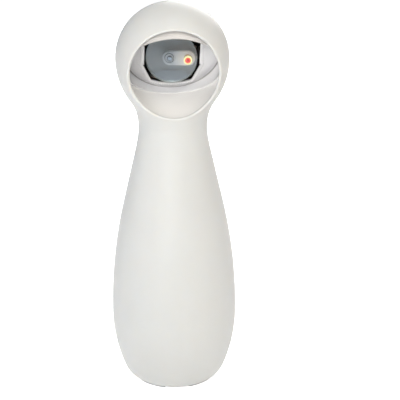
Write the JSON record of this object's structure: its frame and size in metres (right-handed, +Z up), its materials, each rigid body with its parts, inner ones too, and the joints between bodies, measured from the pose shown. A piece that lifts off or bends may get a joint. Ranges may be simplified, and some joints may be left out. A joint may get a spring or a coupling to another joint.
{
  "type": "automatic cat laser toy",
  "caption": "free-standing cat toy: pin-shaped white housing whose round head holds a turning, tiltable mirror that throws a laser dot, with a rear button and a twist battery door",
  "frame": {"origin": "middle of the base, on the floor", "axes": "+Z up, front with the opening towards -Y, +X to the toy's left"},
  "size_m": [0.0748, 0.0748, 0.229],
  "materials": {
    "shell_plastic": "smooth white ABS, semi-gloss",
    "bowl_plastic": "polished white ABS",
    "bezel_plastic": "polished white ABS",
    "mirror_glass": "front-silvered glass",
    "holder_plastic": "black moulded plastic",
    "cradle_plastic": "black moulded plastic",
    "gear_plastic": "natural acetal",
    "motor_steel": "plated motor can",
    "motor_cap_plastic": "nylon end bell",
    "screw_steel": "zinc-plated steel",
    "laser_brass": "turned brass",
    "laser_glass": "red collimating lens, lit",
    "clamp_plastic": "grey moulded plastic",
    "case_plastic": "black moulded plastic",
    "cell_sleeve": "plain printed sleeve on a steel can, mass of an alkaline cell",
    "contact_nickel": "nickel-plated spring steel",
    "board_laminate": "green solder mask",
    "switch_plastic": "black moulded plastic",
    "chip_plastic": "moulded chip package",
    "capacitor_can": "aluminium can in a sleeve",
    "pin_steel": "ground steel",
    "foot_rubber": "soft grey rubber",
    "door_plastic": "smooth white ABS",
    "button_plastic": "smooth grey ABS"
  },
  "bodies": {
    "housing": {"front_shell": "shell_plastic", "rear_shell": "shell_plastic", "shell_screw_left": "screw_steel", "shell_screw_right": "screw_steel", "shell_screw_neck": "screw_steel", "inner_bowl": "bowl_plastic", "mirror_bezel": "bezel_plastic", "bezel_ring": "bezel_plastic", "bezel_screw_left": "screw_steel", "bezel_screw_right": "screw_steel", "laser_barrel": "laser_brass", "laser_lens": "laser_glass", "laser_clamp": "clamp_plastic", "clamp_screw": "screw_steel", "battery_case": "case_plastic", "aa_cell_1": "cell_sleeve", "aa_cell_2": "cell_sleeve", "aa_cell_3": "cell_sleeve", "aa_cell_4": "cell_sleeve", "upper_contact_1": "contact_nickel", "upper_contact_2": "contact_nickel", "upper_contact_3": "contact_nickel", "control_board": "board_laminate", "tact_switch": "switch_plastic", "logic_chip": "chip_plastic", "capacitor": "capacitor_can", "board_screw_low": "screw_steel", "board_screw_high": "screw_steel", "foot_pad_1": "foot_rubber", "foot_pad_2": "foot_rubber", "foot_pad_3": "foot_rubber", "foot_pad_4": "foot_rubber"},
    "aim_carriage": {"cradle": "cradle_plastic", "pivot_pin_left": "pin_steel", "pivot_pin_right": "pin_steel", "gear_case": "gear_plastic", "gear_cover": "gear_plastic", "cover_screw_left": "screw_steel", "cover_screw_right": "screw_steel", "motor_can": "motor_steel", "motor_cap": "motor_cap_plastic"},
    "mirror_rotor": {"mirror_disc": "mirror_glass", "mirror_holder": "holder_plastic", "hub_gear": "gear_plastic"},
    "motor_worm": {"motor_worm": "gear_plastic"},
    "power_button": {"power_button": "button_plastic", "switch_plunger": "switch_plastic"},
    "battery_door": {"battery_door": "door_plastic", "door_contact_1": "contact_nickel", "door_contact_2": "contact_nickel"}
  },
  "joints": [
    {"name": "aim_tilt", "type": "hinge", "parent": "housing", "child": "aim_carriage", "pos_m": [0, 0.012, 0.1975], "axis": [1, 0, 0], "range_deg": [-8, 8]},
    {"name": "mirror_spin", "type": "hinge", "parent": "aim_carriage", "child": "mirror_rotor", "pos_m": [0, 0.009, 0.1953], "axis": [0, -0.8988, 0.4384], "continuous": true},
    {"name": "motor_spin", "type": "hinge", "parent": "aim_carriage", "child": "motor_worm", "pos_m": [0, 0.02097, 0.1968], "axis": [1, 0, 0], "continuous": true},
    {"name": "button_press", "type": "slide", "parent": "housing", "child": "power_button", "axis": [0, -1, 0], "range_m": [0, 0.0008], "stiffness_N_per_m": 900, "springref_m": -0.0008},
    {"name": "door_turn", "type": "hinge", "parent": "housing", "child": "battery_door", "pos_m": [0, 0, 0.0022], "axis": [0, 0, 1], "range_deg": [0, 30]}
  ],
  "couplings": [
    {"joint": "motor_spin", "follows": "mirror_spin", "ratio": 20}
  ]
}
